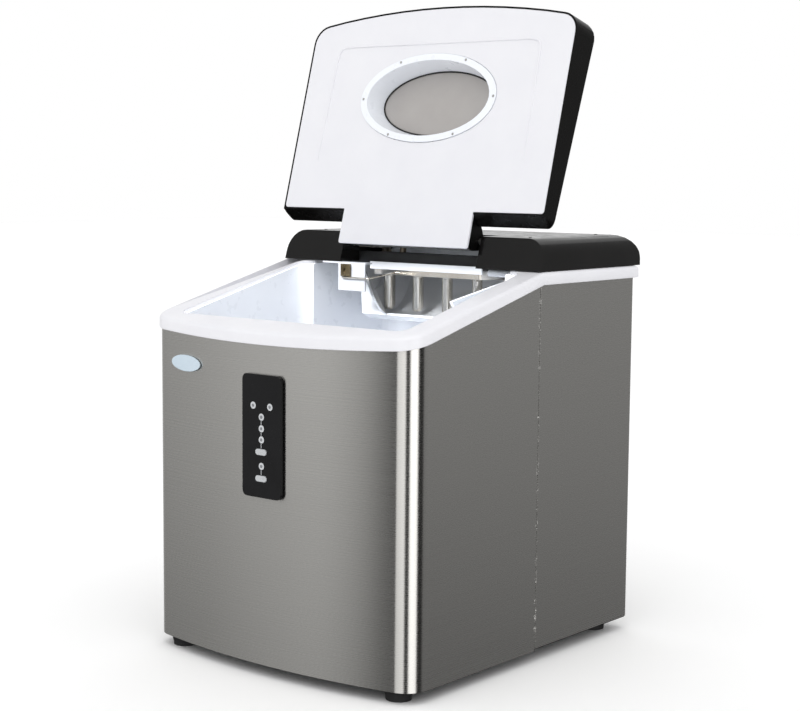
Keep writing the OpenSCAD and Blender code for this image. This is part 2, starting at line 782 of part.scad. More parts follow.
module fan_motor() {
    color("#4a4a4d") place() translate([fan_at.x, fan_y - 30, fan_at.y]) rotate([-90, 0, 0]) {
        cylinder(h = 22, r = 16);
        translate([0, 0, 22]) cylinder(h = 12, r = 2.5);
        for (a = [0:90:270]) rotate([0, 0, a + 45]) translate([14, -2.5, 20.8]) cube([52, 5, 3]);
    }
}

module fan_rotor() {
    color("#151516") place() translate([fan_at.x, fan_y - 4, fan_at.y]) rotate([-90, 0, 0]) difference() {
        union() {
            cylinder(h = 12, r = 13);
            for (a = [0:60:300]) rotate([0, 0, a]) translate([27, 0, 6]) rotate([35, 0, 0])
                cube([32, 14, 1.6], center = true);
        }
        translate([0, 0, -1]) cylinder(h = 11, r = 2.55);
    }
}

module filter_drier() {
    color("#b5723c") place() translate([drier_at.x, 215, drier_at.y]) rotate([-90, 0, 0]) {
        cylinder(h = 60, r = 9);
        translate([0, 0, -14]) cylinder(h = 88, r = 2.6);
    }
}

module solenoid_valve() {
    color("#7a7a7d") place() translate([valve_at.x, valve_at.y, 100]) {
        cylinder(h = 28, r = 11);
        translate([0, 0, -14]) cylinder(h = 14, r = 5);
        translate([0, 0, 28]) cylinder(h = 5, r = 6);
    }
}

module refrigerant_pipes() {
    color("#b87333") place() {
        pipe([[comp_at.x, comp_at.y, 131.4], [comp_at.x, comp_at.y, 190], [valve_at.x, comp_at.y, 190],
            [valve_at.x, valve_at.y, 190], [valve_at.x, valve_at.y, 133.4]], 2.4, 2.6);
        pipe([[valve_at.x, valve_at.y, 85.6], [valve_at.x, valve_at.y, 60], [drier_at.x, 192, drier_at.y],
            [drier_at.x, 200.6, drier_at.y]], 2.4, 2.6);
        pipe([[drier_at.x, 289.4, drier_at.y], [drier_at.x, 296, drier_at.y], [drier_at.x, 296, 72],
            [-108.6, 296, 80]], 2.4, 2.6);
    }
}

module power_board() {
    color("#1f5a36") place() translate([20, 60, 60]) cube([90, 60, 1.6]);
    color("#333333") place() {
        translate([28, 68, 61.6]) cube([28, 24, 24]);
        translate([66, 74, 61.6]) cube([16, 30, 16]);
        for (x = [24, 106], y = [64, 116]) translate([x, y, 3.5]) cylinder(h = 56.5, r = 3);
    }
}

module cord_gland() {
    color("#141415") place() translate([gland_at.x, 0, gland_at.y]) rotate([-90, 0, 0]) difference() {
        union() {
            translate([0, 0, body_d]) cylinder(h = 5, r = 12);
            translate([0, 0, body_d - 12]) cylinder(h = 12, r = 9);
        }
        translate([0, 0, body_d - 9]) cylinder(h = 30, r = 4);
    }
}

base_pan();
feet();
front_wrap();
rear_wrap();
rear_grille();
top_rim();
tank_liner();
rear_cover();
cover_screws();
hinge_pins();
lid_shell();
lid_panel();
window_well();
window_pane();
lid_screws();
control_bezel();
led_windows();
select_button();
power_button();
control_board();
badge_plate();
evaporator_plate();
evaporator_fingers();
evaporator_tube();
support_bar();
splash_guard();
water_tray();
tray_motor();
motor_bracket();
tray_bushing();
sensor_bracket();
ice_sensor();
sensor_rod();
ice_basket();
water_pump();
pump_hose();
level_probe();
compressor();
compressor_mounts();
condenser();
fan_shroud();
fan_motor();
fan_rotor();
filter_drier();
refrigerant_pipes();
solenoid_valve();
power_board();
cord_gland();
drain_spout();
drain_plug();
base_screws();
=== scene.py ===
import math

import bmesh
import bpy
from mathutils import Matrix, Vector


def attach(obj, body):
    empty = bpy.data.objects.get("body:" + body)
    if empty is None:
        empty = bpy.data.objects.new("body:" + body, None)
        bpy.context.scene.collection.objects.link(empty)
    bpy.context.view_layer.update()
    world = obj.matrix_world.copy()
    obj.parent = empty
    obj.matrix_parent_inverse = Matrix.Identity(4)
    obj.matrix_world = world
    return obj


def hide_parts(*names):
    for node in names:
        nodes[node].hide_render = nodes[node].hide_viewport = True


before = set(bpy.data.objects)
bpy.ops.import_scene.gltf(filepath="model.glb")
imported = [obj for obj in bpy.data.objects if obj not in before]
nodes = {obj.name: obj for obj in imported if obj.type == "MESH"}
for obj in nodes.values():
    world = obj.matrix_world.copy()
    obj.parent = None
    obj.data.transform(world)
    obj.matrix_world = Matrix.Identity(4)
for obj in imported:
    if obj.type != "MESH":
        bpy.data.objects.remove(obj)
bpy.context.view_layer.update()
scene = bpy.context.scene

# Design numbers in mm. Local heights count from the lower edge of the steel, local depths from the front
# corners.
MM = 0.001
Y_MID = 154.4
FOOT = 10.0
HALF_W = 150.0
BODY_D = 322.5
BOW = 17.4
CORNER_R = 22.0
SEAM_Y = 169.0
SLOPE = math.tan(math.radians(14.15))
RIM_Z = 332.7
FLAT_Y = 172.3
RIM_H = 11.0
RIM_OUT = 2.0
FRONT_R = (HALF_W**2 + BOW**2) / (2 * BOW)
FRONT_CY = FRONT_R - BOW
# The open lid: a point on its inner face and how far that face leans from level
LID_Y, LID_Z, LID_LEAN = 156.83, 333.1, math.radians(74.65)
# The window: its middle along the lid, and the outer skin's place and tilt there
WIN_S, SKIN_N, SKIN_TILT = 157.0, -24.08, math.radians(-4.568)
# The control panel: its middle line, its front face and its six lamps
PANEL_X = 1.0
PANEL_FACE = -20.4
LAMPS = [(-8.5, 222.5), (10.7, 222.5)] + [(PANEL_X, z) for z in (213.3, 203.5, 194.1, 171.7)]
# Edges that turn by more than this many degrees are eased and shaded sharp on the CAD pieces
CAD_EDGE = 33
EDGE_SEGMENTS = 2


def at(x, y, z):
    """A point given in local mm, in the row frame in metres."""
    return Vector((x * MM, (y - Y_MID) * MM, (z + FOOT) * MM))


def on_lid(x, s, n):
    """A point in lid coordinates: across, from the hinge side to the front, out of the inner face."""
    c, k = math.cos(LID_LEAN), math.sin(LID_LEAN)
    return at(x, LID_Y + c * s - k * n, LID_Z + k * s + c * n)


def rim_top(y):
    return min(RIM_Z, RIM_Z - SLOPE * (FLAT_Y - y))


# ---------------------------------------------------------------- materials


class Shader:
    """A procedural material on one Principled shader. Object coordinates are metres."""

    def __init__(self, name, color, rough, metallic=0.0, **constants):
        self.mat = bpy.data.materials.new(name)
        self.mat.use_nodes = True
        self.tree = self.mat.node_tree
        self.bsdf = self.tree.nodes["Principled BSDF"]
        self.bsdf.inputs["Base Color"].default_value = (*color, 1)
        self.bsdf.inputs["Roughness"].default_value = rough
        self.bsdf.inputs["Metallic"].default_value = metallic
        for key, value in constants.items():
            self.bsdf.inputs[key.replace("_", " ")].default_value = value
        self.mat.diffuse_color = (*color, 1)
        self.height = None

    def node(self, kind, **values):
        n = self.tree.nodes.new(kind)
        for key, value in values.items():
            if key in n.inputs:
                n.inputs[key].default_value = value
            else:
                setattr(n, key, value)
        return n

    def link(self, a, b):
        self.tree.links.new(a, b)

    def coords(self, stretch=(1, 1, 1)):
        tex = self.node("ShaderNodeTexCoord")
        mapping = self.node("ShaderNodeMapping")
        mapping.inputs["Scale"].default_value = stretch
        self.link(tex.outputs["Object"], mapping.inputs["Vector"])
        return mapping.outputs["Vector"]

    def noise(self, scale, stretch=(1, 1, 1), detail=3.0, roughness=0.55):
        n = self.node("ShaderNodeTexNoise", Scale=scale, Detail=detail, Roughness=roughness)
        self.link(self.coords(stretch), n.inputs["Vector"])
        return n.outputs["Fac"]

    def spread(self, fac, lo, hi, start=0.3, end=0.7):
        """fac from start to end becomes lo to hi."""
        n = self.node("ShaderNodeMapRange")
        n.inputs["From Min"].default_value = start
        n.inputs["From Max"].default_value = end
        n.inputs["To Min"].default_value = lo
        n.inputs["To Max"].default_value = hi
        self.link(fac, n.inputs["Value"])
        return n.outputs["Result"]

    def math(self, op, a, b=None):
        n = self.node("ShaderNodeMath", operation=op)
        for socket, value in zip(n.inputs, (a, b)):
            if value is None:
                continue
            if isinstance(value, (int, float)):
                socket.default_value = value
            else:
                self.link(value, socket)
        return n.outputs[0]

    def axis(self, name):
        tex = self.node("ShaderNodeTexCoord")
        split = self.node("ShaderNodeSeparateXYZ")
        self.link(tex.outputs["Object"], split.inputs[0])
        return split.outputs[name]

    def tint(self, fac, a, b):
        """Base colour between a and b by fac; either may be a socket."""
        n = self.node("ShaderNodeMix", data_type="RGBA")
        self.link(fac, n.inputs[0])
        for socket, value in ((n.inputs[6], a), (n.inputs[7], b)):
            if isinstance(value, tuple):
                socket.default_value = (*value, 1)
            else:
                self.link(value, socket)
        self.link(n.outputs[2], self.bsdf.inputs["Base Color"])
        return n.outputs[2]

    def rough(self, fac, lo, hi):
        self.link(self.spread(fac, lo, hi), self.bsdf.inputs["Roughness"])

    def bump(self, fac, depth_mm, strength=1.0):
        n = self.node("ShaderNodeBump", Strength=strength, Distance=depth_mm * MM)
        self.link(fac, n.inputs["Height"])
        if self.height is not None:
            self.link(self.height, n.inputs["Normal"])
        self.height = n.outputs["Normal"]
        self.link(self.height, self.bsdf.inputs["Normal"])


def plastic(name, light, dark, rough, grain_mm=0.6, grain_depth=0.02, wave_depth=0.15, **constants):
    """Moulded plastic: slight mottling, a fine grain and the faint waviness of a moulded wall."""
    s = Shader(name, light, rough, **constants)
    mottle = s.noise(28, detail=5)
    s.tint(s.spread(mottle, 0, 1), dark, light)
    s.rough(s.noise(90, detail=4), rough - 0.05, rough + 0.07)
    s.bump(s.noise(1000 / grain_mm, detail=2), grain_depth)
    s.bump(s.noise(16, detail=1), wave_depth, 0.5)
    return s


def brushed(name, light, dark, rough, streak=(4, 4, 1400), **constants):
    """Brushed sheet metal with the lines running level round the cabinet."""
    s = Shader(name, light, rough, 1.0, **constants)
    fine = s.noise(1, streak, detail=5, roughness=0.75)
    broad = s.noise(1, (streak[0] / 2, streak[1] / 2, streak[2] / 12), detail=2)
    both = s.math("ADD", s.math("MULTIPLY", fine, 0.85), s.math("MULTIPLY", broad, 0.15))
    s.color = s.tint(s.spread(both, 0, 1, 0.3, 0.7), dark, light)
    s.rough(fine, rough - 0.02, rough + 0.03)
    s.bump(fine, 0.0008, 0.6)
    return s


def metal(name, light, dark, rough, grain=900, **constants):
    s = Shader(name, light, rough, 1.0, **constants)
    s.tint(s.spread(s.noise(60, detail=5), 0, 1), dark, light)
    s.rough(s.noise(140, detail=4), rough - 0.07, rough + 0.1)
    s.bump(s.noise(grain, detail=3), 0.015)
    return s


def steel_skin():
    """Brushed steel, with whitish dots painted along the seam between the two wraps: scratches there, drawn
    as non-metallic dots that stand in for their glints, a painted highlight.
    """
    s = brushed("steel", (0.60, 0.59, 0.565), (0.565, 0.555, 0.532), 0.27, (5, 5, 2600),
                Anisotropic=0.92, Anisotropic_Rotation=0.25)
    tangent = s.node("ShaderNodeTangent", direction_type="RADIAL", axis="Z")
    s.link(tangent.outputs[0], s.bsdf.inputs["Tangent"])
    # Painted highlight: non-metallic whitish dots near the seam stand in for the glints of its scratched
    # edge.
    off = s.math("ABSOLUTE", s.math("SUBTRACT", s.axis("Y"), (SEAM_Y - Y_MID) * MM))
    near = s.spread(off, 1, 0, 0.0006, 0.0022)
    glint_specks = s.spread(s.noise(150, (1, 1, 1.4), detail=6, roughness=0.8), 0, 1, 0.555, 0.60)
    seam_glint = s.math("MULTIPLY", near, glint_specks)
    s.tint(seam_glint, s.color, (0.62, 0.61, 0.59))
    s.link(s.math("SUBTRACT", 1.0, seam_glint), s.bsdf.inputs["Metallic"])
    return s


steel = steel_skin()
white = plastic("white_rim", (0.80, 0.80, 0.83), (0.765, 0.765, 0.80), 0.34)
panel_white = plastic("panel_white", (0.79, 0.79, 0.82), (0.765, 0.765, 0.80), 0.42, grain_mm=0.8)
# Painted shade: a darkened grey copy of the white plastic for the sensor bracket, so that it does not blow
# out under the nearby bin lamp.
bracket_shaded_white = plastic("bracket_shaded_white", (0.42, 0.435, 0.465), (0.39, 0.405, 0.435), 0.3)
liner = plastic("liner_white", (0.86, 0.885, 0.93), (0.84, 0.865, 0.915), 0.3, grain_depth=0.004,
                wave_depth=0.01)
black = plastic("black_satin", (0.0062, 0.0058, 0.0055), (0.0046, 0.0043, 0.0041), 0.15, grain_mm=0.9,
                grain_depth=0.003, wave_depth=0.04, Specular_IOR_Level=0.22)
lid_black = plastic("lid_black", (0.0045, 0.0042, 0.0040), (0.0034, 0.0032, 0.0030), 0.26, grain_mm=0.9,
                    grain_depth=0.006, wave_depth=0.05, Specular_IOR_Level=0.11)
matte = plastic("black_matte", (0.012, 0.012, 0.0125), (0.007, 0.007, 0.0075), 0.6)
panel_black = plastic("panel_black", (0.006, 0.006, 0.0068), (0.0045, 0.0045, 0.005), 0.14, grain_depth=0.003,
                      wave_depth=0.04, Specular_IOR_Level=0.16)
grey_button = plastic("button_grey", (0.50, 0.515, 0.53), (0.44, 0.455, 0.47), 0.32, grain_depth=0.008)
lens = plastic("lens", (0.60, 0.615, 0.63), (0.50, 0.515, 0.53), 0.16, grain_depth=0.005, wave_depth=0.03)
lamp_grey = plastic("lamp_grey", (0.22, 0.225, 0.24), (0.17, 0.175, 0.19), 0.2, grain_depth=0.003,
                    wave_depth=0.02)
badge_blue = plastic("badge", (0.57, 0.665, 0.745), (0.52, 0.62, 0.70), 0.2, grain_depth=0.006,
                     wave_depth=0.03)
nickel = metal("nickel", (0.66, 0.63, 0.575), (0.56, 0.53, 0.48), 0.13)
zinc = metal("zinc", (0.60, 0.59, 0.57), (0.48, 0.47, 0.45), 0.3)
bronze = metal("bronze", (0.22, 0.175, 0.105), (0.09, 0.07, 0.04), 0.3)
dull_copper = metal("dull_copper", (0.34, 0.285, 0.225), (0.24, 0.20, 0.155), 0.34)
copper = metal("copper", (0.70, 0.38, 0.22), (0.55, 0.28, 0.15), 0.28)
dark_metal = metal("dark_metal", (0.05, 0.05, 0.052), (0.03, 0.03, 0.032), 0.42)
grey_metal = metal("grey_metal", (0.34, 0.335, 0.32), (0.25, 0.245, 0.235), 0.4)
aluminium = metal("aluminium", (0.74, 0.74, 0.75), (0.62, 0.62, 0.63), 0.3)
rubber = plastic("rubber", (0.015, 0.015, 0.0155), (0.009, 0.009, 0.0095), 0.72, grain_mm=0.4,
                 grain_depth=0.04)
board = plastic("board", (0.02, 0.13, 0.05), (0.012, 0.09, 0.034), 0.45)
pump_blue = plastic("pump_blue", (0.035, 0.055, 0.105), (0.026, 0.042, 0.085), 0.4)
milky = plastic("translucent", (0.80, 0.825, 0.86), (0.765, 0.79, 0.83), 0.2, grain_depth=0.004,
                wave_depth=0.05)
smoked = plastic("smoked_glass", (0.42, 0.40, 0.385), (0.39, 0.37, 0.355), 0.12, grain_depth=0.002,
                 wave_depth=0.02, IOR=1.45)

# ------------------------------------------------------------------- pieces


def corner(a, p, b, r, n):
    """Points of the arc of radius r that rounds the corner p between a and b, in 2-D."""
    if r <= 0:
        return [p]
    a, p, b = Vector(a), Vector(p), Vector(b)
    u, v = (a - p).normalized(), (b - p).normalized()
    half = u.angle(v) / 2
    c = p + (u + v).normalized() * (r / math.sin(half))
    s = p + u * (r / math.tan(half)) - c
    e = p + v * (r / math.tan(half)) - c
    start = math.atan2(s.y, s.x)
    sweep = math.atan2(s.x * e.y - s.y * e.x, s.dot(e))
    turns = [start + sweep * i / n for i in range(n + 1)]
    return [(c.x + r * math.cos(a), c.y + r * math.sin(a)) for a in turns]


def rounded(points, radii, n=10):
    """A polygon's points with corner i rounded to radii[i]."""
    m = len(points)
    return [q for i in range(m) for q in corner(points[i - 1], points[i], points[(i + 1) % m], radii[i], n)]


def ellipse(a, b, n=96):
    return [(a * math.cos(2 * math.pi * i / n), b * math.sin(2 * math.pi * i / n)) for i in range(n)]


def wrap_line(t, y_end, n_corner=14, n_bow=48):
    """The cabinet's plan line moved in by t: left side, bowed front, right side, both ends at y_end."""
    r, cx = CORNER_R, HALF_W - CORNER_R
    cy = FRONT_CY - math.sqrt((FRONT_R - r) ** 2 - cx**2)
    turn = math.atan2(cx, FRONT_CY - cy)
    right = []
    for i in range(n_corner + 1):
        a = -math.pi / 2 + turn + (math.pi / 2 - turn) * i / n_corner
        right.append((cx + (r - t) * math.cos(a), cy + (r - t) * math.sin(a)))
    bowed = []
    for i in range(1, n_bow):
        a = -turn + 2 * turn * i / n_bow
        bowed.append(((FRONT_R - t) * math.sin(a), FRONT_CY - (FRONT_R - t) * math.cos(a)))
    stops = [y for y in (60.0, 110.0, FLAT_Y) if y < y_end - 1] + [y_end]
    back = [(HALF_W - t, y) for y in stops]
    left = [(-x, y) for x, y in reversed(right + back)]
    return left + bowed + right + back


def ease_edges(obj, width_mm, angle):
    """Rounds the edges that turn by more than angle degrees."""
    b = obj.modifiers.new("edge", "BEVEL")
    b.width = width_mm * MM
    b.segments = EDGE_SEGMENTS
    b.limit_method = "ANGLE"
    b.angle_limit = math.radians(angle)


def even_shading(obj):
    """Lets the large faces set the shading next to an eased edge."""
    w = obj.modifiers.new("shade", "WEIGHTED_NORMAL")
    w.mode = "FACE_AREA"
    w.weight = 80
    w.keep_sharp = True


def build(name, bm, shader, body, replaces=(), angle=35, bevel=0.0):
    """A piece from a bmesh in the row frame."""
    bmesh.ops.recalc_face_normals(bm, faces=bm.faces)
    mesh = bpy.data.meshes.new(name)
    for f in bm.faces:
        f.smooth = True
    bm.to_mesh(mesh)
    bm.free()
    mesh.set_sharp_from_angle(angle=math.radians(angle))
    mesh.materials.append(shader.mat)
    obj = bpy.data.objects.new(name, mesh)
    scene.collection.objects.link(obj)
    if bevel:
        ease_edges(obj, bevel, angle)
        even_shading(obj)
    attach(obj, body)
    if replaces:
        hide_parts(*replaces)
    return obj


def ring_verts(bm, points):
    return [bm.verts.new(p) for p in points]


def bridge(bm, a, b, closed=True):
    n = len(a)
    for i in range(n if closed else n - 1):
        j = (i + 1) % n
        bm.faces.new((a[i], a[j], b[j], b[i]))


def tube(bm, path, radius, sides=14, caps=True):
    """A round bar swept along points in the row frame; radius is in mm, or one for each point."""
    n = len(path)
    radii = radius if isinstance(radius, (list, tuple)) else [radius] * n
    rings = []
    up = None
    for i, p in enumerate(path):
        t = (path[min(i + 1, n - 1)] - path[max(i - 1, 0)]).normalized()
        if up is None:
            up = t.orthogonal().normalized()
        up = (up - t * up.dot(t)).normalized()
        side = t.cross(up)
        turns = [2 * math.pi * k / sides for k in range(sides)]
        spokes = [up * math.cos(a) + side * math.sin(a) for a in turns]
        rings.append(ring_verts(bm, [p + spoke * radii[i] * MM for spoke in spokes]))
    for a, b in zip(rings, rings[1:]):
        bridge(bm, a, b)
    if caps:
        bm.faces.new(rings[0])
        bm.faces.new(rings[-1])


def soft_path(points, radius, n=6):
    """Points of a line with its corners rounded, in the row frame; radius in mm."""
    out = [points[0]]
    for a, p, b in zip(points, points[1:], points[2:]):
        u, v = (a - p), (b - p)
        reach = min(radius * MM, u.length * 0.45, v.length * 0.45)
        s, e = p + u.normalized() * reach, p + v.normalized() * reach
        for i in range(n + 1):
            k = i / n
            out.append(s * (1 - k) ** 2 + p * 2 * k * (1 - k) + e * k**2)
    out.append(points[-1])
    return out


def lathe(bm, profile, place, sides=40):
    """Turns (radius, height) pairs in mm round an axis; place(x, y, h) gives the point."""
    turns = [2 * math.pi * k / sides for k in range(sides)]
    rings = []
    for r, h in profile:
        if r < 1e-6:
            rings.append([bm.verts.new(place(0, 0, h))])
        else:
            rings.append(ring_verts(bm, [place(r * math.cos(a), r * math.sin(a), h) for a in turns]))
    for a, b in zip(rings, rings[1:]):
        if len(a) == 1 and len(b) == 1:
            continue
        if len(a) == 1:
            for k in range(sides):
                bm.faces.new((a[0], b[k], b[(k + 1) % sides]))
        elif len(b) == 1:
            for k in range(sides):
                bm.faces.new((b[0], a[(k + 1) % sides], a[k]))
        else:
            bridge(bm, a, b)


def make_smooth_tree():
    """Geometry nodes that shade an edge sharp where it turns by more than CAD_EDGE."""
    g = bpy.data.node_groups.new("smooth_by_angle", "GeometryNodeTree")
    for way in ("INPUT", "OUTPUT"):
        g.interface.new_socket("Geometry", in_out=way, socket_type="NodeSocketGeometry")
    start, end = g.nodes.new("NodeGroupInput"), g.nodes.new("NodeGroupOutput")
    angle = g.nodes.new("GeometryNodeInputMeshEdgeAngle")
    big = g.nodes.new("FunctionNodeCompare")
    big.data_type, big.operation = "FLOAT", "GREATER_THAN"
    big.inputs[1].default_value = math.radians(CAD_EDGE)
    normal = g.nodes.new("GeometryNodeSetMeshNormal")
    normal.mode = "SHARPNESS"
    normal.inputs["Remove Custom"].default_value = True
    normal.inputs["Face Sharpness"].default_value = False
    g.links.new(angle.outputs["Unsigned Angle"], big.inputs[0])
    g.links.new(big.outputs[0], normal.inputs["Edge Sharpness"])
    g.links.new(start.outputs[0], normal.inputs["Mesh"])
    g.links.new(normal.outputs[0], end.inputs[0])
    return g


smooth_tree = make_smooth_tree()


def dress(name, shader, bevel=0.0):
    """Gives a CAD node its finish: welded, edges eased by bevel mm, smooth where it turns gently."""
    obj = nodes[name]
    obj.data.materials.clear()
    obj.data.materials.append(shader.mat)
    weld = obj.modifiers.new("weld", "WELD")
    weld.merge_threshold = 2e-6
    if bevel:
        flat = obj.modifiers.new("flat", "DECIMATE")
        flat.decimate_type = "DISSOLVE"
        flat.angle_limit = math.radians(0.3)
        ease_edges(obj, bevel, CAD_EDGE)
    smooth = obj.modifiers.new("smooth", "NODES")
    smooth.node_group = smooth_tree
    if bevel:
        even_shading(obj)


# ------------------------------------------------------------- steel wraps


def make_front_skin():
    """The bowed front sheet, 1 mm thick, from seam to seam; its top edge follows the rim."""
    bm = bmesh.new()
    rows = []
    for t in (0.0, 1.0):
        line = wrap_line(t, SEAM_Y)
        low = ring_verts(bm, [at(x, y, 0) for x, y in line])
        high = ring_verts(bm, [at(x, y, rim_top(y) - RIM_H + 0.8) for x, y in line])
        rows.append((low, high))
    (lo0, hi0), (lo1, hi1) = rows
    bridge(bm, lo0, hi0, False)
    bridge(bm, hi0, hi1, False)
    bridge(bm, hi1, lo1, False)
    bridge(bm, lo1, lo0, False)
    for k in (0, -1):
        bm.faces.new((lo0[k], hi0[k], hi1[k], lo1[k]))
    return build("front_skin", bm, steel, "cabinet", ["front_wrap"], bevel=0.3)


def opening_line(t):
    """The rim's opening moved out by t."""
    bx, by, cx, cy, step = 129 + t, 9.5 - t, 115 + t, 277 + t, 171.2 + t
    return rounded(
        [(-bx, by), (bx, by), (bx, step), (cx, step), (cx, cy), (-cx, cy), (-cx, step), (-bx, step)],
        [10 + t, 10 + t, 12 + t, 2, 8 + t, 8 + t, 2, 12 + t], 12)


def make_rim():
    """The white rim: an outer band with a soft shoulder, the sloping top and the lip round the opening."""
    bm = bmesh.new()
    end = BODY_D + RIM_OUT

    def outer(inset, d):
        line = wrap_line(inset - RIM_OUT, end - inset)
        return ring_verts(bm, [at(x, y, rim_top(y) - d) for x, y in line])

    def inner(t, d):
        return ring_verts(bm, [at(x, y, rim_top(y) - d) for x, y in opening_line(t)])

    r, q, steps = 3.4, 1.3, 7
    chain = [outer(1.4, 2.6), outer(1.4, RIM_H), outer(0.5, RIM_H), outer(0.0, RIM_H - 0.6)]
    for i in range(steps + 1):
        a = math.pi / 2 * i / steps
        chain.append(outer(r * (1 - math.cos(a)), r * (1 - math.sin(a))))
    for a, b in zip(chain, chain[1:]):
        bridge(bm, a, b)
    lip = []
    for i in range(steps + 1):
        a = math.pi / 2 * (1 - i / steps)
        lip.append(inner(q * (1 - math.cos(a)), q * (1 - math.sin(a))))
    lip += [inner(0.0, RIM_H), inner(1.6, RIM_H), inner(1.6, 2.6)]
    for a, b in zip(lip, lip[1:]):
        bridge(bm, a, b)
    bm.verts.index_update()
    bm.edges.index_update()
    for pair in ((chain[-1], lip[0]), (chain[0], lip[-1])):
        edges = []
        for ring in pair:
            for i, v in enumerate(ring):
                w = ring[(i + 1) % len(ring)]
                edges.append(bm.edges.get((v, w)) or bm.edges.new((v, w)))
        made = bmesh.ops.triangle_fill(bm, use_beauty=True, use_dissolve=False, edges=edges)
        faces = [g for g in made["geom"] if isinstance(g, bmesh.types.BMFace)]
        geom = faces + list({e for f in faces for e in f.edges}) + list({v for f in faces for v in f.verts})
        bmesh.ops.bisect_plane(bm, geom=geom, dist=1e-7, plane_co=at(0, FLAT_Y, 0), plane_no=(0, 1, 0))
    return build("rim_ring", bm, white, "cabinet", ["top_rim"], angle=40)


make_front_skin()
make_rim()


# ------------------------------------------------------------------ fingers


def make_fingers():
    """Nine nickel fingers, four in front and five behind, with a dimple in the tip and a flared root."""
    bm = bmesh.new()
    r, low, high, pitch = 4.5, 287.0, 320.5, 34.9
    tip = [(0, low + 0.5), (1.6, low + 0.35), (2.6, low), (3.6, low + 0.35), (4.25, low + 1.1),
           (r, low + 2.2)]
    root = [(r, high - 2.5), (r + 0.25, high - 1.4), (r + 0.8, high - 0.5), (r + 1.2, high), (0, high)]
    for row, y in enumerate((209.0, 233.0)):
        for i in range(4 + row):
            x = (i - (3 + row) / 2) * pitch

            def place(u, v, h, x=x, y=y):
                return at(x + u, y + v, h)

            lathe(bm, tip + root, place)
    return build("finger_set", bm, nickel, "cabinet", ["evaporator_fingers"], angle=50)


make_fingers()

# ------------------------------------------- panel marks, lid bead, dark ring round the pane


def make_marks():
    """The short grey lines on the control panel that join its lamps and keys."""
    bm = bmesh.new()
    lift, sunk, half = PANEL_FACE - 0.12, PANEL_FACE + 0.05, 0.3

    def strip(x0, z0, x1, z1):
        front = [(x0, z0), (x1, z0), (x1, z1), (x0, z1)]
        a = ring_verts(bm, [at(x, lift, z) for x, z in front])
        b = ring_verts(bm, [at(x, sunk, z) for x, z in front])
        bridge(bm, a, b)
        bm.faces.new(a)
        bm.faces.new(b)

    for z0, z1 in ((206.9, 209.9), (197.5, 200.1), (186.9, 190.7), (164.4, 168.3)):
        strip(PANEL_X - half, z0, PANEL_X + half, z1)
    return build("panel_marks", bm, grey_button, "cabinet")


def make_lamp_wells():
    """The small dark centre of each lamp."""
    bm = bmesh.new()
    for x0, z0 in LAMPS:

        def place(u, v, h, x0=x0, z0=z0):
            return at(x0 + u, PANEL_FACE - h, z0 + v)

        lathe(bm, [(0, 0.16), (0.7, 0.18), (1.15, 0.2), (1.3, 0.15), (1.3, 0.0), (0, 0.0)], place, 24)
    return build("lamp_centres", bm, lamp_grey, "cabinet")


def make_bead():
    """The raised line moulded round the window on the lid's inner panel."""
    bm = bmesh.new()
    half = [(120, 97), (117.5, 196), (116, 207), (105, 209)]
    line = soft_path([on_lid(-x, s, 0) for x, s in half] + [on_lid(x, s, 0) for x, s in reversed(half)], 12)
    tube(bm, line, [0.3] + [1.0] * (len(line) - 2) + [0.3], 10)
    return build("panel_bead", bm, panel_white, "lid")


def make_pane_ring():
    """A thin dark matte ring round the pane, where it meets the end of the well."""
    bm = bmesh.new()
    k, c, h = math.sin(SKIN_TILT), math.cos(SKIN_TILT), 4.6
    path = [on_lid(u, WIN_S + c * v - k * h, SKIN_N + k * v + c * h) for u, v in ellipse(65.4, 31.4)]
    tube(bm, path + path[:1], 0.75, 10, caps=False)
    return build("pane_ring", bm, matte, "lid")


make_marks()
make_lamp_wells()
make_bead()
make_pane_ring()

# -------------------------------------------------------------- CAD pieces

# The material of each CAD piece and how many mm its edges are eased
FINISHES = {
    "base_pan": (dark_metal, 0.3), "feet": (rubber, 0.6), "rear_wrap": (steel, 0.3),
    "rear_grille": (matte, 0.5), "tank_liner": (liner, 0.9), "rear_cover": (black, 2.2),
    "cover_screws": (dark_metal, 0.2), "hinge_pins": (zinc, 0.3), "lid_shell": (lid_black, 1.0),
    "lid_panel": (panel_white, 0.7), "window_well": (liner, 0.3), "window_pane": (smoked, 0.2),
    "lid_screws": (zinc, 0.25), "control_bezel": (panel_black, 0.8), "led_windows": (lens, 0.3),
    "select_button": (grey_button, 0.4), "power_button": (grey_button, 0.4),
    "control_board": (board, 0.2), "badge_plate": (badge_blue, 0.4), "evaporator_plate": (nickel, 0.4),
    "evaporator_tube": (dull_copper, 0), "support_bar": (matte, 0.6), "splash_guard": (milky, 0.3),
    "water_tray": (milky, 0.3), "tray_motor": (white, 0.5), "motor_bracket": (zinc, 0.3),
    "tray_bushing": (white, 0.3), "sensor_bracket": (bracket_shaded_white, 0.3), "ice_sensor": (bronze, 0.3),
    "sensor_rod": (nickel, 0), "ice_basket": (milky, 0.3), "water_pump": (pump_blue, 0.6),
    "pump_hose": (milky, 0), "level_probe": (zinc, 0.2), "compressor": (dark_metal, 1.0),
    "compressor_mounts": (rubber, 0.4), "condenser": (aluminium, 0), "fan_shroud": (matte, 0.5),
    "fan_motor": (dark_metal, 0.4), "fan_rotor": (matte, 0.3), "filter_drier": (copper, 0.5),
    "refrigerant_pipes": (copper, 0), "solenoid_valve": (grey_metal, 0.5), "power_board": (board, 0.2),
    "cord_gland": (rubber, 0.5), "drain_spout": (matte, 0.4), "drain_plug": (rubber, 0.5),
    "base_screws": (zinc, 0.2),
}
for name, (shader, bevel) in FINISHES.items():
    dress(name, shader, bevel)

# ------------------------------------------------------ camera, floor, light


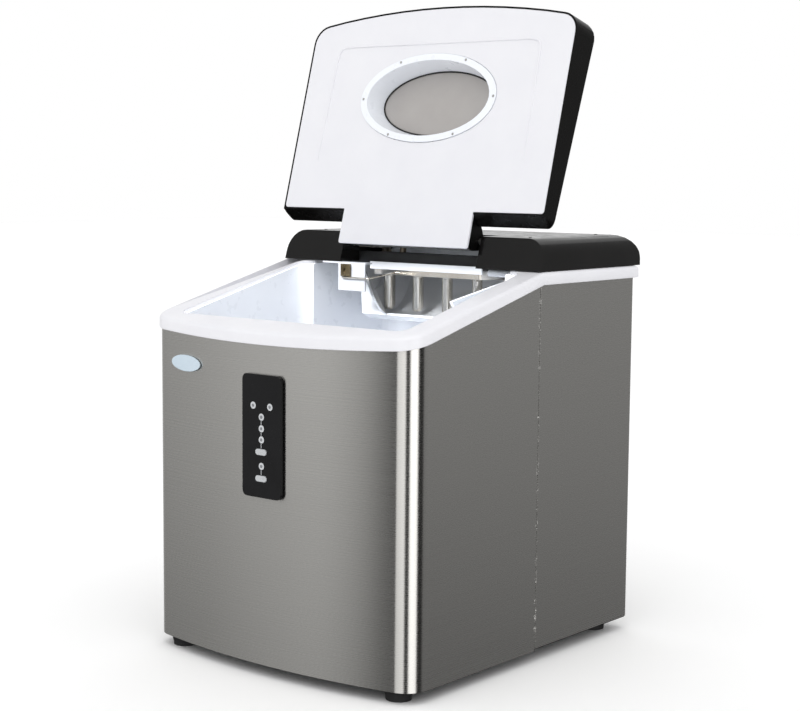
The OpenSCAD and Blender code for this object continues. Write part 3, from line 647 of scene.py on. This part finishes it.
def make_camera():
    """A long lens from the front right, a little above the machine."""
    yaw, pitch, roll = math.radians(39.33), math.radians(6.30), math.radians(0.466)
    fwd = Vector((-math.sin(yaw) * math.cos(pitch), math.cos(yaw) * math.cos(pitch), -math.sin(pitch)))
    right = Vector((math.cos(yaw), math.sin(yaw), 0))
    up = right.cross(fwd)
    rolled_right = math.cos(roll) * right + math.sin(roll) * up
    rolled_up = -math.sin(roll) * right + math.cos(roll) * up
    cam = bpy.data.objects.new("camera", bpy.data.cameras.new("camera"))
    scene.collection.objects.link(cam)
    cam.data.sensor_width = 36.0
    cam.data.lens = 76.77
    cam.data.clip_end = 50
    m = Matrix((rolled_right, rolled_up, -fwd)).transposed().to_4x4()
    m.translation = Vector((0.98187, -1.19005, 0.43127))
    cam.matrix_world = m
    scene.camera = cam


def area(name, where, size, power, target):
    """A rectangular lamp at where, turned to face target."""
    lamp = bpy.data.lights.new(name, "AREA")
    lamp.shape = "RECTANGLE"
    lamp.size, lamp.size_y = size
    lamp.energy = power
    obj = bpy.data.objects.new(name, lamp)
    obj.location = where
    obj.rotation_mode = "QUATERNION"
    obj.rotation_quaternion = (Vector(target) - Vector(where)).to_track_quat("-Z", "Y")
    scene.collection.objects.link(obj)
    return obj


# What the lamp in front of the bin lights, so that the deep white bin reads as white
IN_THE_BIN = [nodes[name].name for name in (
    "tank_liner", "ice_basket", "water_tray", "splash_guard", "sensor_bracket", "ice_sensor", "sensor_rod",
    "evaporator_plate", "evaporator_tube")] + ["finger_set"]


def make_stage():
    """Floor, sun, world, and the lamp that lights only what is in the bin."""
    floor = Shader("floor", (0.955, 0.955, 0.955), 0.8)
    floor.tint(floor.spread(floor.noise(3, detail=3), 0, 1), (0.95, 0.95, 0.95), (0.96, 0.96, 0.96))
    bm = bmesh.new()
    half = 9.0
    bm.faces.new(ring_verts(bm, [(-half, -half, 0), (half, -half, 0), (half, half, 0), (-half, half, 0)]))
    mesh = bpy.data.meshes.new("floor")
    bm.to_mesh(mesh)
    bm.free()
    mesh.materials.append(floor.mat)
    obj = bpy.data.objects.new("floor", mesh)
    scene.collection.objects.link(obj)
    obj.visible_glossy = False
    make_world()
    sun = bpy.data.objects.new("sun", bpy.data.lights.new("sun", "SUN"))
    sun.data.energy = 0.6
    sun.data.angle = math.radians(70)
    sun.rotation_euler = (math.radians(28), math.radians(14), 0)
    scene.collection.objects.link(sun)
    bin_lamp = area("bin_lamp", (-0.24, -0.62, 0.80), (0.40, 0.30), 14.5, target=(0, 0.03, 0.28))
    bin_lamp.visible_camera = False
    inside = bpy.data.collections.new("inside_the_bin")
    for name in IN_THE_BIN:
        inside.objects.link(bpy.data.objects[name])
    bin_lamp.light_linking.receiver_collection = inside


# The softboxes and dark flags that glossy surfaces see round the object: the angle in degrees from the front
# towards its right, the brightness, and the share of it left near the floor
STUDIO = [
    (-180, 0.8, 0.5), (-150, 0.8, 0.5), (-128, 0.8, 0.5), (-112, 0.8, 0.4), (-104, 0.4, 0.3),
    (-88, 0.45, 0.2), (-72, 0.51, 0.05), (-60, 0.62, 0.0), (-48, 0.75, 0.1), (-30, 0.86, 0.25),
    (-24, 0.69, 0.25), (-20, 0.5, 0.25), (-17, 0.05, 0.5), (-12, 0.05, 0.5), (-8, 1.3, 0.7),
    (22, 1.6, 0.7), (27, 1.5, 0.7), (30, 0.02, 0.7), (45, 0.02, 0.7), (49, 2.2, 0.7), (60, 2.5, 0.7),
    (79, 2.4, 0.6), (84, 0.03, 0.5), (104, 0.03, 0.2), (110, 0.37, 0.0), (140, 0.39, 0.0),
    (150, 0.33, 0.0),
]
BRIGHTEST = 4.0


def make_world():
    """Even white light for everything soft; glossy surfaces mirror the studio's softboxes and flags."""
    world = bpy.data.worlds.new("studio")
    world.use_nodes = True
    tree = world.node_tree

    def node(kind, *sources, **values):
        n = tree.nodes.new(kind)
        for key, value in values.items():
            if key in n.inputs:
                n.inputs[key].default_value = value
            else:
                setattr(n, key, value)
        for socket, source in zip(n.inputs, sources):
            if isinstance(source, (int, float)):
                socket.default_value = source
            else:
                tree.links.new(source, socket)
        return n

    def span(value, start, end, **values):
        """0 to 1 as value goes from start to end."""
        n = node("ShaderNodeMapRange", value, **values)
        n.inputs["From Min"].default_value = start
        n.inputs["From Max"].default_value = end
        return n

    def ramp(share, levels):
        n = node("ShaderNodeValToRGB", share)
        stops = n.color_ramp.elements
        stops.remove(stops[-1])
        for i, (angle, level) in enumerate(levels):
            stop = stops[0] if i == 0 else stops.new((angle + 180) / 360)
            stop.position = (angle + 180) / 360
            stop.color = (level, level, level, 1)
        return n.outputs["Color"]

    sky = tree.nodes["Background"]
    sky.inputs["Color"].default_value = (1, 1, 1, 1)
    split = node("ShaderNodeSeparateXYZ", node("ShaderNodeTexCoord").outputs["Generated"])
    front = node("ShaderNodeMath", split.outputs["Y"], -1.0, operation="MULTIPLY").outputs[0]
    turn = node("ShaderNodeMath", split.outputs["X"], front, operation="ARCTAN2").outputs[0]
    share = span(turn, -math.pi, math.pi).outputs[0]
    level = ramp(share, [(a, v / BRIGHTEST) for a, v, _ in STUDIO])
    left = ramp(share, [(a, k) for a, _, k in STUDIO])
    rise = span(split.outputs["Z"], -0.33, -0.17, interpolation_type="SMOOTHSTEP")
    tree.links.new(left, rise.inputs["To Min"])
    below = span(split.outputs["Z"], -0.62, -0.40)
    below.inputs["To Min"].default_value = 0.04
    shaded = node("ShaderNodeMath", rise.outputs[0], below.outputs[0], operation="MULTIPLY").outputs[0]
    lit = node("ShaderNodeMath", level, shaded, operation="MULTIPLY")
    cards = node("ShaderNodeBackground", lit.outputs[0], BRIGHTEST)
    glossy = node("ShaderNodeLightPath").outputs["Is Glossy Ray"]
    mix = node("ShaderNodeMixShader", glossy, sky.outputs[0], cards.outputs[0])
    tree.links.new(mix.outputs[0], tree.nodes["World Output"].inputs["Surface"])
    scene.world = world


make_camera()
make_stage()
scene.view_settings.view_transform = "Standard"
